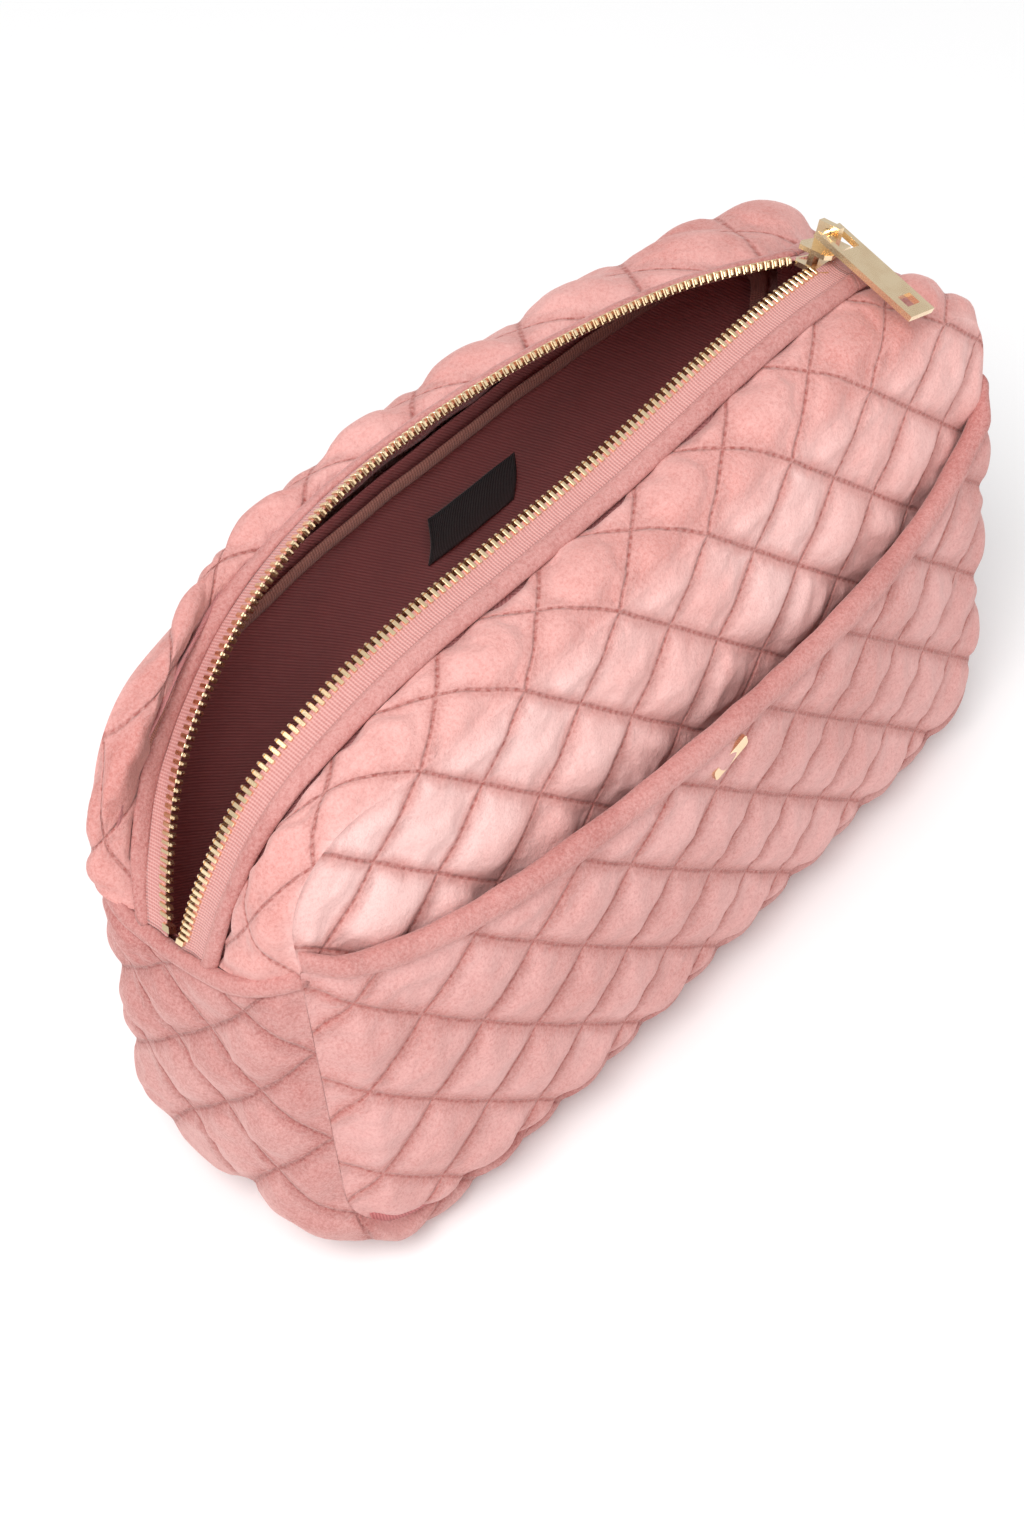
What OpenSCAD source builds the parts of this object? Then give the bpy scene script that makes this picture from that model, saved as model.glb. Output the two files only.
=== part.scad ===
// Quilted velvet makeup bag standing on its base with its zipped mouth open.
// X runs along the zip, -Y is the front with the slip pocket, +Z is up, z = 0 is the base.

/* [Bag] */
// Length of the front and back panels between their side seams
panel_length = 246; // [200:1:300]
// Height of the front panel's top seam above the base
top_seam_z = 152; // [120:1:190]
// Height of the bottom seams above the base
bottom_seam_z = 14; // [10:1:20]
// Radius of the panels' corners
corner_radius = 24; // [16:1:32]
// Distance of the front panel's bottom seam from the middle
front_depth = 44.5; // [34:0.5:52]
// How far the front panel leans back between its bottom and top seams
front_lean = 10; // [4:0.5:14]
// Distance of the back panel from the middle
back_depth = 48; // [36:0.5:54]
// How far the panels bow outwards
belly = 3; // [0:0.5:6]
// How far the front panel's left end curves back
left_setback = 8; // [2:1:16]
// How far the front panel's right end curves back
right_setback = 2; // [0:1:12]
// How far the back panel's ends curve forward
back_setback = 14; // [4:1:20]
// How much lower the back panel's top seam sits
back_drop = 5; // [0:1:10]
// How far the side band bulges past the side seams
band_bulge = 8; // [5:0.5:16]
// How far the side band's top edge sags between its corners
band_sag = 8; // [2:0.5:12]
// Height where the zip strips meet the side band
cross_seam_z = 116; // [100:1:122]

/* [Fabric] */
// Thickness of the velvet face
velvet_t = 1.0; // [0.6:0.1:1.6]
// Thickness of the quilting wadding
wadding_t = 3.0; // [2:0.1:5]
// Thickness of the lining cloth
lining_t = 0.6; // [0.4:0.1:1.2]
// Width of the ribbed tape that binds the inside seams
seam_tape_w = 4; // [3:0.5:6]

/* [Pocket] */
// How far the pocket's edge sags below its ends
pocket_sag = 14.5; // [4:0.5:20]
// Gap between the pocket and the bag at the middle of its mouth
pocket_gap = 7; // [5.5:0.5:10]
// Height of the folded binding along the pocket's edge
binding_h = 6.5; // [4:0.5:9]
// Length of the small metal plate
plate_l = 12.5; // [8:0.5:16]
// Height of the small metal plate
plate_h = 4; // [3:0.5:6]

/* [Zip] */
// Distance that the zip's left end lies beyond the panel's end
zip_overhang = 7; // [4:1:14]
// Distance of the parked slider from the panel's right end
slider_park = 32; // [24:1:50]
// Height of the parked slider above the front top seam
slider_rise = 14; // [8:1:22]
// How far the zip stands above the line between the ends of the mouth
mouth_rise = 44; // [30:1:56]
// Angle of the front half of the mouth forward of upright
front_open = 10; // [6:1:18]
// Angle of the back half of the mouth behind upright
back_open = 45; // [25:1:55]
// Distance between teeth
tooth_pitch = 2; // [1.6:0.1:3]
// Length of a tooth across the chain
tooth_l = 2.4; // [1.8:0.1:3.4]
// Thickness of the chain
tooth_t = 2.2; // [1.6:0.1:3]
// Width of the tape that shows beside the teeth
tape_w = 5; // [3:0.5:8]
// Thickness of the tape
tape_t = 0.8; // [0.5:0.1:1]

/* [Slider] */
// Length of the slider along the chain
slider_l = 12; // [9:0.5:15]
// Width of the slider at the end that faces the mouth
slider_w = 9.4; // [7:0.2:12]
// Gap between the slider's two plates
channel_h = 3.2; // [2.8:0.1:4]
// Thickness of each plate of the slider
slider_plate_t = 1.2; // [0.8:0.1:2]
// Radius of the hole through the crown
crown_bore_r = 1.1; // [0.9:0.1:1.4]
// Radial clearance between the puller's bar and the crown
bar_clear = 0.1; // [0.05:0.05:0.2]
// Length of the puller's tab
tab_l = 24; // [18:1:34]
// Width of the puller's tab
tab_w = 10.5; // [8:0.5:14]
// Thickness of the puller's tab
tab_t = 1.5; // [1:0.1:2.4]

/* [Hidden] */

seam_gap = 0.3;
half_l = panel_length / 2;
seam_rise = top_seam_z - bottom_seam_z;
depth_velvet = velvet_t;
depth_wadding = velvet_t + wadding_t;
depth_lining = depth_wadding + lining_t;
y_axis = [0, 1, 0];

// Counts of segments along the seams and across the cloth
side_n = 4;
arc_n = 5;
long_n = 10;
band_n = 8;
strip_n = 3;
ring_at = [0.24, 0.5, 0.72, 0.88, 1];
pocket_n = 4;

function mix(a, b, t) = a + (b - a) * t;
function unit(v) = v / norm(v);

// Seam outline of a panel: rows of [x, z, outward x, outward z], from the left cross seam over the top
function straight(a, b, out, n, first) =
    [for (k = [first:n]) concat(mix(a, b, k / n), out)];
function bend(centre, from, n) =
    [for (k = [1:n]) let (g = from - 90 * k / n, d = [cos(g), sin(g)]) concat(centre + corner_radius * d, d)];
corner_x = half_l - corner_radius;
corner_top = top_seam_z - corner_radius;
corner_low = bottom_seam_z + corner_radius;
upper = concat(straight([-half_l, cross_seam_z], [-half_l, corner_top], [-1, 0], 1, 0),
    bend([-corner_x, corner_top], 180, arc_n),
    straight([-corner_x, top_seam_z], [corner_x, top_seam_z], [0, 1], long_n, 1),
    bend([corner_x, corner_top], 90, arc_n),
    straight([half_l, corner_top], [half_l, cross_seam_z], [1, 0], 1, 1));
lower = concat([upper[len(upper) - 1]],
    straight([half_l, cross_seam_z], [half_l, corner_low], [1, 0], side_n, 1),
    bend([corner_x, corner_low], 0, arc_n),
    straight([corner_x, bottom_seam_z], [-corner_x, bottom_seam_z], [0, -1], long_n, 1),
    bend([-corner_x, corner_low], -90, arc_n),
    straight([-half_l, corner_low], [-half_l, cross_seam_z], [-1, 0], side_n, 1));
outline = concat(upper, [for (k = [1:len(lower) - 2]) lower[k]]);

// Surfaces of the front and back panels
back_fold = 0.1;
function climb(z) = (z - bottom_seam_z) / seam_rise;
function bow(x, z) = belly * sin(180 * climb(z)) * (1 - pow(x / half_l, 2));
function setback(x) = (x < 0 ? left_setback : right_setback) * pow(abs(x) / half_l, 3);
function front_y(x, z) = -front_depth + front_lean * climb(z) - bow(x, z) + setback(x);
function back_y(x, z) =
    back_depth + bow(x, z) - back_setback * (1 + back_fold * (x < 0 ? climb(z) : 0)) * pow(abs(x) / half_l, 3);
function front_point(x, z) = [x, front_y(x, z), z];
function back_point(x, z) = [x, back_y(x, z), z - back_drop * climb(z)];
function seam_point(p, side) = side < 0 ? front_point(p[0], p[1]) : back_point(p[0], p[1]);
function outward(p) = [p[2], 0, p[3]];
function seam_dir(p, side) = -side * y_axis - outward(p);

// Layer of cloth between two depths below a grid of points; each cell holds [point, inward direction]
function at_depth(g, depth) = g[0] + g[1] * depth;
function turned(f) = [f[0], f[2], f[1]];
function wall(a, b, count) = [[b, a, a + count], [b, a + count, b + count]];
function quad(a, b, c, d) = [[a, b, c], [a, c, d]];
module sheet(grid, from, to) {
    rows = len(grid);
    cols = len(grid[0]);
    count = rows * cols;
    points = [for (depth = [from, to]) for (r = grid) for (g = r) at_depth(g, depth)];
    function at(r, c) = r * cols + c;
    outer = [for (r = [0:rows - 2]) for (c = [0:cols - 2])
        each quad(at(r, c), at(r, c + 1), at(r + 1, c + 1), at(r + 1, c))];
    inner = [for (f = outer) turned(f) + count * [1, 1, 1]];
    edges = concat(
        [for (r = [0:rows - 2]) each wall(at(r + 1, 0), at(r, 0), count)],
        [for (r = [0:rows - 2]) each wall(at(r, cols - 1), at(r + 1, cols - 1), count)],
        [for (c = [0:cols - 2]) each wall(at(0, c), at(0, c + 1), count)],
        [for (c = [0:cols - 2]) each wall(at(rows - 1, c + 1), at(rows - 1, c), count)]);
    mid = floor(rows / 2);
    faces_in = cross(grid[mid][1][0] - grid[mid][0][0], grid[mid + 1][1][0] - grid[mid][0][0]) * grid[mid][0][1] > 0;
    faces = concat(outer, inner, edges);
    polyhedron(points, faces_in ? faces : [for (f = faces) turned(f)]);
}

// Layer of cloth over a whole panel, as rings round its middle
module panel_layer(side, from, to) {
    mid = [0, (top_seam_z + bottom_seam_z) / 2];
    n = len(outline);
    ring_n = len(ring_at);
    rings = [for (t = ring_at) for (p = outline)
        [seam_point(mix(mid, [p[0], p[1]], t), side), -side * y_axis - outward(p) * pow(t, 6)]];
    cells = concat([[seam_point(mid, side), -side * y_axis]], rings);
    count = len(cells);
    points = [for (depth = [from, to]) for (g = cells) at_depth(g, depth)];
    function at(ring, k) = 1 + (ring - 1) * n + k % n;
    outer = concat([for (k = [0:n - 1]) [0, at(1, k), at(1, k + 1)]],
        [for (ring = [1:ring_n - 1]) for (k = [0:n - 1])
            each quad(at(ring, k), at(ring + 1, k), at(ring + 1, k + 1), at(ring, k + 1))]);
    inner = [for (f = outer) turned(f) + count * [1, 1, 1]];
    edges = [for (k = [0:n - 1]) each wall(at(ring_n, k), at(ring_n, k + 1), count)];
    faces = concat(outer, inner, edges);
    polyhedron(points, side < 0 ? faces : [for (f = faces) turned(f)]);
}

// Solid swept through rings of points, open with capped ends or closed into a loop
module sweep(rings, loop = false) {
    n = len(rings[0]);
    count = len(rings);
    function at(r, k) = (r % count) * n + k % n;
    sides = [for (r = [0:count - (loop ? 1 : 2)]) for (k = [0:n - 1])
        each quad(at(r, k), at(r, k + 1), at(r + 1, k + 1), at(r + 1, k))];
    caps = loop ? [] : [[for (k = [n - 1:-1:0]) k], [for (k = [0:n - 1]) at(count - 1, k)]];
    polyhedron([for (r = rings) each r], concat(sides, caps));
}

// Band round the sides and base, from the front seam to the back seam
function band_profile(w) = min(1, 1.07 * (1 - pow(abs(w), 4)));
function band_fade(z) = pow(max(0, (z - corner_low) / (cross_seam_z - corner_low)), 2);
function band_point(p, v) =
    let (w = 2 * v - 1,
        seam = mix(seam_point(p, -1), seam_point(p, 1), v),
        out = [band_bulge * p[2], 0, bottom_seam_z * p[3]] * band_profile(w))
    seam + out - [0, 0, band_sag * (1 - w * w) * band_fade(p[1])];
function band_dir(p, v) = let (w = 2 * v - 1) -y_axis * sign(w) * pow(abs(w), 5) - outward(p);
band_grid = [for (p = lower) [for (c = [0:band_n]) [band_point(p, c / band_n), band_dir(p, c / band_n)]]];

// Curve through points, with t from 0 to 1 along them
function spline(pts, t) =
    let (n = len(pts) - 1, k = min(floor(t * n), n - 1), f = t * n - k,
        a = pts[max(k - 1, 0)], b = pts[k], c = pts[k + 1], d = pts[min(k + 2, n)])
    0.5 * (2 * b + (c - a) * f + (2 * a - 5 * b + 4 * c - d) * f * f + (3 * b - a - 3 * c + d) * pow(f, 3));
function lengths(pts) = [for (k = 0, s = 0; k < len(pts); k = k + 1,
    s = s + (k < len(pts) ? norm(pts[k] - pts[k - 1]) : 0)) s];
function table(keys, pts, part) = [for (k = [0:len(pts) - 1]) [keys[k], pts[k][part]]];

// Mouth: each half of the open zip is a flat arc, hinged on the line between the ends of the mouth
zip_left = [-half_l - zip_overhang, 3, cross_seam_z - band_sag + 0.5];
zip_right = [half_l - slider_park, -5, top_seam_z + slider_rise];
zip_end = [half_l + zip_overhang, 1, cross_seam_z - band_sag + 4];
chord = norm(zip_right - zip_left);
chord_dir = (zip_right - zip_left) / chord;
chord_up = unit([0, 0, 1] - chord_dir * chord_dir[2]);
chord_back = cross(chord_up, chord_dir);
front_arc = [[0, 0], [0.05, 0.43], [0.13, 0.83], [0.23, 0.95], [0.34, 0.9], [0.47, 0.71], [0.62, 0.5],
    [0.78, 0.37], [0.9, 0.22], [1, 0]];
back_arc = [[0, 0], [0.05, 0.27], [0.14, 0.62], [0.27, 0.88], [0.41, 0.98], [0.55, 0.92], [0.71, 0.72],
    [0.865, 0.42], [1, 0]];
fine_n = 96;
function arc_pts(shape) =
    [for (k = [0:fine_n]) let (p = spline(shape, k / fine_n)) [p[0] * chord, p[1] * mouth_rise]];
front_pts = arc_pts(front_arc);
back_pts = arc_pts(back_arc);
back_keys = lengths(back_pts);
open_l = back_keys[fine_n];
front_own = lengths(front_pts);
front_keys = [for (key = front_own) key * open_l / front_own[fine_n]];
front_along = table(front_keys, front_pts, 0);
front_up = table(front_keys, front_pts, 1);
back_along = table(back_keys, back_pts, 0);
back_up = table(back_keys, back_pts, 1);

// Closed chain from the parked slider down to the right end
closed_shape = [zip_right, mix(zip_right, zip_end, 0.36) + [0, 0, 11], mix(zip_right, zip_end, 0.7) + [3, 0, 11],
    mix(zip_right, zip_end, 0.88) + [2, 0, 5], zip_end];
closed_pts = [for (k = [0:fine_n]) spline(closed_shape, k / fine_n)];
closed_keys = lengths(closed_pts);
closed_x = table(closed_keys, closed_pts, 0);
closed_y = table(closed_keys, closed_pts, 1);
closed_z = table(closed_keys, closed_pts, 2);
closed_l = closed_keys[fine_n];
zip_l = open_l + closed_l;

function swing(side) = side < 0 ? -front_open : back_open;
function zip_point(s, side) = s < open_l
    ? zip_left + chord_dir * lookup(s, side < 0 ? front_along : back_along)
        + (chord_up * cos(swing(side)) + chord_back * sin(swing(side))) * lookup(s, side < 0 ? front_up : back_up)
    : [lookup(s - open_l, closed_x), lookup(s - open_l, closed_y), lookup(s - open_l, closed_z)];
step = 0.5;
function zip_dir(s, side) = unit(zip_point(s + step, side) - zip_point(s - step, side));
tape_slope = [20, 45];
function tape_angle(s, side) = (side < 0 ? tape_slope[0] : tape_slope[1]) * sin(180 * min(1, max(0, s / zip_l)));
function tape_dir(s, side) = [0, side * cos(tape_angle(s, side)), -sin(tape_angle(s, side))];
function zip_up(s, side) = unit(cross(zip_dir(s, side), tape_dir(s, side)));

// Distances from the middle of the chain: tooth tips, roots of the teeth, tape and fabric
tip_gap = 0.4;
root_w = 0.9;
tooth_root = tip_gap + tooth_l - root_w;
tape_from = tip_gap + tooth_l;
tape_to = tape_from + tape_w;
fabric_from = tape_to + seam_gap;
function zip_ring(s, side, from, to, t) =
    let (o = zip_point(s, side), w = tape_dir(s, side), n = zip_up(s, side) * t / 2)
    [o + w * from + n, o + w * to + n, o + w * to - n, o + w * from - n];
module half_chain(side, from, to) {
    flank = 0.12;
    phase = side < 0 ? 0 : tooth_pitch / 2;
    count = floor((to - from - phase - 1) / tooth_pitch);
    sweep([for (k = [0:count - 1]) let (s = from + phase + k * tooth_pitch)
        each [for (q = [[0, tooth_root], [flank, tip_gap], [0.55 - flank, tip_gap], [0.55, tooth_root]])
            zip_ring(s + q[0] * tooth_pitch, side, q[1], tape_from, tooth_t)]]);
}
module tape(side, from, to) {
    n = ceil((to - from) / 6);
    sweep([for (k = [0:n]) zip_ring(mix(from, to, k / n), side, tape_from, tape_to, tape_t)]);
}

// Velvet strips between the top seams and the zip
upper_keys = lengths([for (p = upper) [p[0], p[1]]]);
front_puff = 3;
back_puff = 6;
function strip_cell(k, t, side) =
    let (p = upper[k], s = zip_l * upper_keys[k] / upper_keys[len(upper) - 1],
        a = seam_point(p, side), b = zip_point(s, side) + tape_dir(s, side) * fabric_from,
        d = unit(b - a), flat = unit(d * (outward(p) * d) - outward(p)))
    [mix(a, b, t) - flat * (side < 0 ? front_puff : back_puff) * sin(180 * t), mix(seam_dir(p, side), flat, t)];
function strip_grid(side) =
    [for (k = [0:len(upper) - 1]) [for (c = [0:strip_n]) strip_cell(k, c / strip_n, side)]];

// Pocket over the lower part of the front, open along a sagging edge
pocket_wadding_t = 2;
pocket_t = velvet_t + pocket_wadding_t + lining_t;
pocket_clear = 0.8;
pocket_end_rise = 2.5;
pocket_skew = 6;
function pocket_edge(x) = let (u = x / half_l)
    cross_seam_z + pocket_end_rise - pocket_sag * (1 - pow(u, 6)) - pocket_skew * u * (1 - u * u);
function pocket_lift(x, z) =
    let (up = min(1, max(0, (z - bottom_seam_z) / (pocket_edge(x) - bottom_seam_z))))
    pocket_clear + (pocket_gap - pocket_clear) * (1 - pow(x / half_l, 2)) * pow(up, 1.3);
function pocket_y(x, z) = front_y(x, z) - pocket_lift(x, z) - pocket_t;
pocket_grid = [for (k = [0:len(lower) - 1])
    let (p = lower[k], x = mix(half_l, -half_l, k / (len(lower) - 1)))
    [for (c = [0:pocket_n]) let (q = mix([x, pocket_edge(x)], [p[0], p[1]], c / pocket_n))
        [[q[0], pocket_y(q[0], q[1]), q[1]], y_axis]]];
module pocket_layer(from, to) { sheet(pocket_grid, from, to); }

module front_panel() { color("#d9a3a3") panel_layer(-1, 0, depth_velvet); }
module front_wadding() { color("#f2ece4") panel_layer(-1, depth_velvet, depth_wadding); }
module front_lining() { color("#a9646c") panel_layer(-1, depth_wadding, depth_lining); }
module back_panel() { color("#d9a3a3") panel_layer(1, 0, depth_velvet); }
module back_wadding() { color("#f2ece4") panel_layer(1, depth_velvet, depth_wadding); }
module back_lining() { color("#a9646c") panel_layer(1, depth_wadding, depth_lining); }

module side_base_band() { color("#cf9494") sheet(band_grid, 0, depth_velvet); }
module band_wadding() { color("#f2ece4") sheet(band_grid, depth_velvet, depth_wadding); }
module band_lining() { color("#a9646c") sheet(band_grid, depth_wadding, depth_lining); }

module front_zip_strip() { color("#cf8f90") sheet(strip_grid(-1), 0, depth_velvet); }
module front_strip_wadding() { color("#f2ece4") sheet(strip_grid(-1), depth_velvet, depth_wadding); }
module front_strip_lining() { color("#b4757c") sheet(strip_grid(-1), depth_wadding, depth_lining); }
module back_zip_strip() { color("#cf8f90") sheet(strip_grid(1), 0, depth_velvet); }
module back_strip_wadding() { color("#f2ece4") sheet(strip_grid(1), depth_velvet, depth_wadding); }
module back_strip_lining() { color("#b4757c") sheet(strip_grid(1), depth_wadding, depth_lining); }

module pocket_panel() { color("#d59c9d") pocket_layer(0, velvet_t); }
module pocket_wadding() { color("#f2ece4") pocket_layer(velvet_t, velvet_t + pocket_wadding_t); }
module pocket_lining() { color("#a9646c") pocket_layer(velvet_t + pocket_wadding_t, pocket_t); }

module pocket_binding() {
    n = 24;
    front = 0.8;
    back = 0.1;
    span = half_l - 1;
    color("#c98788") sweep([for (k = [0:n])
        let (x = mix(-span, span, k / n), z = pocket_edge(x), y = pocket_y(x, z))
        [[x, y - front, z + binding_h], [x, y + pocket_t + back, z + binding_h],
            [x, y + pocket_t + back, z], [x, y - front, z]]]);
}

// Small rounded plate on the pocket, held through the cloth by a washer
plate_x = -2.5;
plate_drop = 3;
plate_t = 1;
plate_turn = 15;
plate_round = 1;
plate_z = pocket_edge(plate_x) - plate_drop - plate_h / 2;
module plate_outline(h) {
    linear_extrude(h) rotate(plate_turn) offset(r = plate_round, $fn = 24)
        square([plate_l - 2 * plate_round, plate_h - 2 * plate_round], center = true);
}
module pocket_plate() {
    stand = 0.4;
    color("#e2c187") translate([plate_x, pocket_y(plate_x, plate_z) - stand, plate_z])
        rotate([90, 0, 0]) plate_outline(plate_t);
}
module plate_washer() {
    washer_t = 0.5;
    washer_d = 5;
    washer_clear = 0.4;
    washer_hole = 1.6;
    color("#c9a86a") translate([plate_x, pocket_y(plate_x, plate_z) + pocket_t + washer_t + washer_clear, plate_z])
        rotate([90, 0, 0]) linear_extrude(washer_t) difference() {
            circle(d = washer_d, $fn = 32);
            circle(d = washer_hole, $fn = 32);
        }
}

// Ribbed tape over the seam allowances, flat on the lining along a whole panel seam
binding_in = 7;
binding_t = 0.8;
front_binding_clear = 1.2;
back_binding_clear = 2.4;
module seam_binding(side) {
    from = depth_lining + (side < 0 ? front_binding_clear : back_binding_clear);
    function corner(p, inset, depth) =
        seam_point([p[0] - p[2] * inset, p[1] - p[3] * inset], side) - side * y_axis * depth;
    function ring(p) = [corner(p, binding_in, from), corner(p, binding_in + seam_tape_w, from),
        corner(p, binding_in + seam_tape_w, from + binding_t), corner(p, binding_in, from + binding_t)];
    color("#b98a80") sweep([for (p = outline) side > 0 ? ring(p) : [for (k = [3:-1:0]) ring(p)[k]]], loop = true);
}
module front_seam_binding() { seam_binding(-1); }
module back_seam_binding() { seam_binding(1); }

// Blank woven label on the back lining
label_w = 32;
label_h = 17;
label_x = 16;
label_z = 111;
label_t = 0.6;
module label() {
    color("#1c1b1f") sheet([for (a = [-0.5, 0, 0.5]) [for (b = [-0.5, 0, 0.5])
        [back_point(label_x + a * label_w, label_z + b * label_h), -y_axis]]],
        depth_lining + 0.5, depth_lining + 0.5 + label_t);
}

// Zip
end_free = slider_l / 2 + 2;
module front_tape() { color("#dba9a6") tape(-1, 2, open_l - end_free); }
module back_tape() { color("#dba9a6") tape(1, 2, open_l - end_free); }
module front_teeth() { color("#d8b878") half_chain(-1, 4, open_l - end_free); }
module back_teeth() { color("#d8b878") half_chain(1, 4, open_l - end_free); }
chain_from = open_l + slider_l / 2 + 1;
chain_to = zip_l - 4;
module closed_tape() { color("#dba9a6") for (side = [-1, 1]) tape(side, chain_from, chain_to); }
module closed_teeth() { color("#d8b878") for (side = [-1, 1]) half_chain(side, chain_from, chain_to); }
module stop_clip(side, s, from, to, l) {
    color("#cfae6c") sweep([for (k = [0, 1]) zip_ring(s + k * l, side, from, to, tooth_t + 0.4)]);
}
stop_l = 1.6;
stop_gap = 0.7;
module front_top_stop() { stop_clip(-1, 2, stop_gap, tape_from, stop_l); }
module back_top_stop() { stop_clip(1, 2, stop_gap, tape_from, stop_l); }
module bottom_stop() { stop_clip(1, chain_to, -tape_from, tape_from, stop_l * 2); }

// Slider, parked on the chain where the mouth ends
slider_tilt = 20;
slider_nose_w = 7;
crown_w = 2.2;
crown_h = 5.6;
crown_top = 1.1;
crown_l = 6;
bar_r = crown_bore_r - bar_clear;
crown_z = channel_h / 2 + slider_plate_t + crown_h - crown_bore_r - crown_top;
module at_slider() { translate(zip_right) rotate([0, slider_tilt, 0]) children(); }
module slider_plate() {
    linear_extrude(slider_plate_t) polygon([[-slider_l / 2, -slider_w / 2 + 1], [-slider_l / 2 + 2, -slider_w / 2],
        [slider_l / 2, -slider_nose_w / 2], [slider_l / 2, slider_nose_w / 2], [-slider_l / 2 + 2, slider_w / 2],
        [-slider_l / 2, slider_w / 2 - 1]]);
}
module slider_body() {
    post_l = 2.6;
    color("#e0bf7e") at_slider() union() {
        translate([0, 0, channel_h / 2]) slider_plate();
        translate([0, 0, -channel_h / 2 - slider_plate_t]) slider_plate();
        translate([-slider_l / 2 + 0.4, -0.8, -channel_h / 2]) cube([post_l, 1.6, channel_h]);
    }
}
module slider_crown() {
    color("#e7c98d") at_slider() translate([0, 0, channel_h / 2 + slider_plate_t]) difference() {
        translate([-crown_w / 2, -crown_l / 2, 0]) cube([crown_w, crown_l, crown_h]);
        translate([-crown_w, 0, crown_h - crown_bore_r - crown_top]) rotate([0, 90, 0])
            cylinder(r = crown_bore_r, h = 2 * crown_w, $fn = 48);
    }
}

// Puller: a bar through the crown, two arms and a tab with a slot, hanging over the front
puller_drop = 16;
slot_w = 5.4;
slot_h = 3.6;
slot_in = 3;
arm_l = 7;
arm_w = 1.7;
module puller() {
    color("#e7c98d") at_slider() translate([0, 0, crown_z]) rotate([puller_drop, 0, 0]) union() {
        translate([-tab_w / 2 + 0.6, 0, 0]) rotate([0, 90, 0]) cylinder(r = bar_r, h = tab_w - 1.2, $fn = 48);
        for (end = [-1, 1]) translate([end * (tab_w - arm_w) / 2 - arm_w / 2, -arm_l, -tab_t / 2])
            cube([arm_w, arm_l + bar_r, tab_t]);
        difference() {
            translate([-tab_w / 2, -arm_l - tab_l, -tab_t / 2]) cube([tab_w, tab_l, tab_t]);
            translate([-slot_w / 2, -arm_l - tab_l + slot_in, -tab_t]) cube([slot_w, slot_h, 2 * tab_t]);
        }
    }
}

front_panel();
front_wadding();
front_lining();
back_panel();
back_wadding();
back_lining();
side_base_band();
band_wadding();
band_lining();
front_zip_strip();
front_strip_wadding();
front_strip_lining();
back_zip_strip();
back_strip_wadding();
back_strip_lining();
pocket_panel();
pocket_wadding();
pocket_lining();
pocket_binding();
pocket_plate();
plate_washer();
front_seam_binding();
back_seam_binding();
label();
front_tape();
back_tape();
front_teeth();
back_teeth();
closed_tape();
closed_teeth();
front_top_stop();
back_top_stop();
bottom_stop();
slider_body();
slider_crown();
puller();
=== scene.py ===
import math
import bmesh
import bpy
import numpy as np
from mathutils import Matrix, Vector, noise


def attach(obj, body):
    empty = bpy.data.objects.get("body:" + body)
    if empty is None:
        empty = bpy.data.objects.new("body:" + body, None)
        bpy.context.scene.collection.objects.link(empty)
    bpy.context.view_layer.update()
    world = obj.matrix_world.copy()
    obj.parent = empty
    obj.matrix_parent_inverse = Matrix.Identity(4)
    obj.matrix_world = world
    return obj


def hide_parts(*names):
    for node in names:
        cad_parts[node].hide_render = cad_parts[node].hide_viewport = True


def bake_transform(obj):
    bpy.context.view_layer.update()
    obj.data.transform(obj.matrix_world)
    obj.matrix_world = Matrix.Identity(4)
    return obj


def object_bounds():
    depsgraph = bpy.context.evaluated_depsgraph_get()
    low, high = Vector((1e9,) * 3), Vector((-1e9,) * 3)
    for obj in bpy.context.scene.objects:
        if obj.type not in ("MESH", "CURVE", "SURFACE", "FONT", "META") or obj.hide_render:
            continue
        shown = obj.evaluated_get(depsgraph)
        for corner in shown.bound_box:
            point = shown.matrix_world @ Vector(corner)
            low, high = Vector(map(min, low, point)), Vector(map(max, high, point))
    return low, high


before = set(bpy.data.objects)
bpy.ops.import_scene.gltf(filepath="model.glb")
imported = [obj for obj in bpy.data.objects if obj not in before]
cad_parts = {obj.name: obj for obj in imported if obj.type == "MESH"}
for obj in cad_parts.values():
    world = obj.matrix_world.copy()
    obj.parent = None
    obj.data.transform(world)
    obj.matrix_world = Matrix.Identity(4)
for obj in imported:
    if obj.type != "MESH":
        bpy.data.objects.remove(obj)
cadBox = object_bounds()
print("frame loaded with", len(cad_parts), "nodes")

mm = 0.001  # everything below is in millimetres until it reaches a mesh
upward = Vector((0, 0, 1))
backward = Vector((0, 1, 0))

bag = {
    "halfLength": 123, "topSeam": 152, "bottomSeam": 14, "cornerRadius": 24, "frontDepth": 44.5,
    "frontLean": 10, "backDepth": 48, "belly": 3, "leftSetback": 8, "rightSetback": 2,
    "backSetback": 14, "backFold": 0.1, "backDrop": 5, "bandBulge": 8, "bandSag": 8,
    "crossSeam": 116, "roll": 9,
}


def mix(a, b, t):
    return a + (b - a) * t


def clamp(v, low=0.0, high=1.0):
    return max(low, min(high, v))


def smooth(v):
    v = clamp(v)
    return v * v * (3 - 2 * v)


# surfaces of the bag
def climb(z):
    return (z - bag["bottomSeam"]) / (bag["topSeam"] - bag["bottomSeam"])


def bow(x, z):
    return bag["belly"] * math.sin(math.pi * clamp(climb(z))) * (1 - (x / bag["halfLength"]) ** 2)


def frontPoint(x, z):
    u = abs(x) / bag["halfLength"]
    setback = (bag["leftSetback"] if x < 0 else bag["rightSetback"]) * u ** 3
    return Vector((x, -bag["frontDepth"] + bag["frontLean"] * climb(z) - bow(x, z) + setback, z))


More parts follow.
